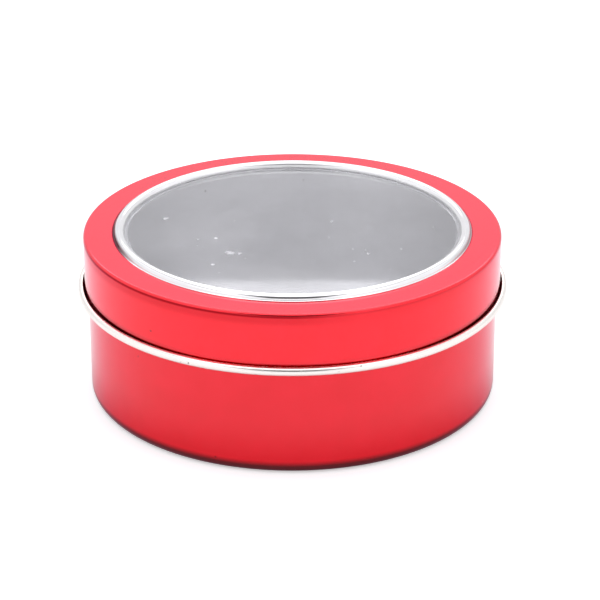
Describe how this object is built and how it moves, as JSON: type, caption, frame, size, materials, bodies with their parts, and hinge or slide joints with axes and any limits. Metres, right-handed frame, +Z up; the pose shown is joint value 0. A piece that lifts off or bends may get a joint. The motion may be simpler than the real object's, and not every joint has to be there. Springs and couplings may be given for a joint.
{
  "type": "window lid tin",
  "caption": "Round shallow slip-lid tin with a clear window in the lid, inside a raised ridge, for sweets, balm, candles or small parts.",
  "frame": {"origin": "centre of the underside, on the plane that the tin stands on", "axes": "+Z up along the tin's axis, from the base to the lid; the tin is round, so +X and +Y are free"},
  "size_m": [0.0878, 0.0878, 0.0352],
  "materials": {
    "red_tinplate": "glossy translucent red lacquer over tinplate",
    "clear_pane": "clear, smooth sheet",
    "bright_tinplate": "bare bright tinplate"
  },
  "bodies": {
    "base": {"base_can": "red_tinplate"},
    "lid": {"lid_shell": "red_tinplate", "window_pane": "clear_pane", "pane_retainer": "bright_tinplate"}
  },
  "joints": [
    {"name": "lid_lift", "type": "slide", "parent": "base", "child": "lid", "axis": [0, 0, 1], "range_m": [0, 0.02]}
  ]
}
